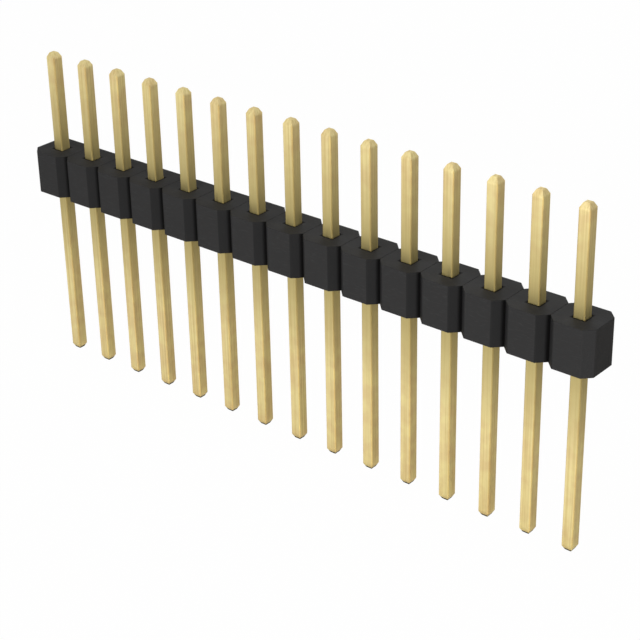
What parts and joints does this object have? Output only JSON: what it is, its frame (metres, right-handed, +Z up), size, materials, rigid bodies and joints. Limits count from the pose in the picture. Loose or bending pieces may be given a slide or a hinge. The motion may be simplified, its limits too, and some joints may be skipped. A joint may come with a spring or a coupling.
{
  "type": "pin header strip",
  "caption": "Straight single-row pin header: square gilt posts pressed through a row of bevelled black insulator blocks, posts up to mate and long tails down for the board.",
  "frame": {"origin": "middle of the housing's underside, the plane that seats on the circuit board, on the axis of the middle pin", "axes": "+X along the row of pins, +Y across the row, +Z up out of the board towards the mating posts"},
  "size_m": [0.0382, 0.0026, 0.019],
  "materials": {
    "housing_plastic": "moulded black thermoplastic, fine matt grain",
    "pin_plating": "gold-plated drawn square wire, satin"
  },
  "bodies": {
    "root": {"housing": "housing_plastic", "pin_01": "pin_plating", "pin_02": "pin_plating", "pin_03": "pin_plating", "pin_04": "pin_plating", "pin_05": "pin_plating", "pin_06": "pin_plating", "pin_07": "pin_plating", "pin_08": "pin_plating", "pin_09": "pin_plating", "pin_10": "pin_plating", "pin_11": "pin_plating", "pin_12": "pin_plating", "pin_13": "pin_plating", "pin_14": "pin_plating", "pin_15": "pin_plating"}
  },
  "joints": []
}
